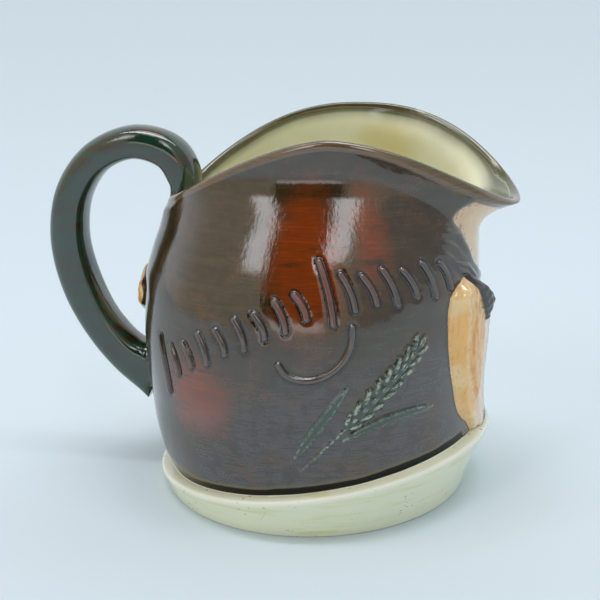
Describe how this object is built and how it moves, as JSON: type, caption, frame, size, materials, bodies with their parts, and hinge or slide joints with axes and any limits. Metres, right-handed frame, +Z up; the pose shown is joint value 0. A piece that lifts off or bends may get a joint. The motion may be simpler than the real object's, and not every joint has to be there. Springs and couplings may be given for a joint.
{
  "type": "character jug",
  "caption": "Glazed earthenware pouring jug in the form of a head, with a loop handle, a broad lip, side whiskers and a flared collar as its foot.",
  "frame": {"origin": "middle of the flat underside of the foot, at table height", "axes": "+X from the handle to the pouring lip, +Y towards the face, so that the back of the head looks along -Y, and +Z up"},
  "size_m": [0.2141, 0.169, 0.1646],
  "materials": {
    "glaze": "glossy"
  },
  "bodies": {
    "root": {"jug": "glaze"}
  },
  "joints": []
}
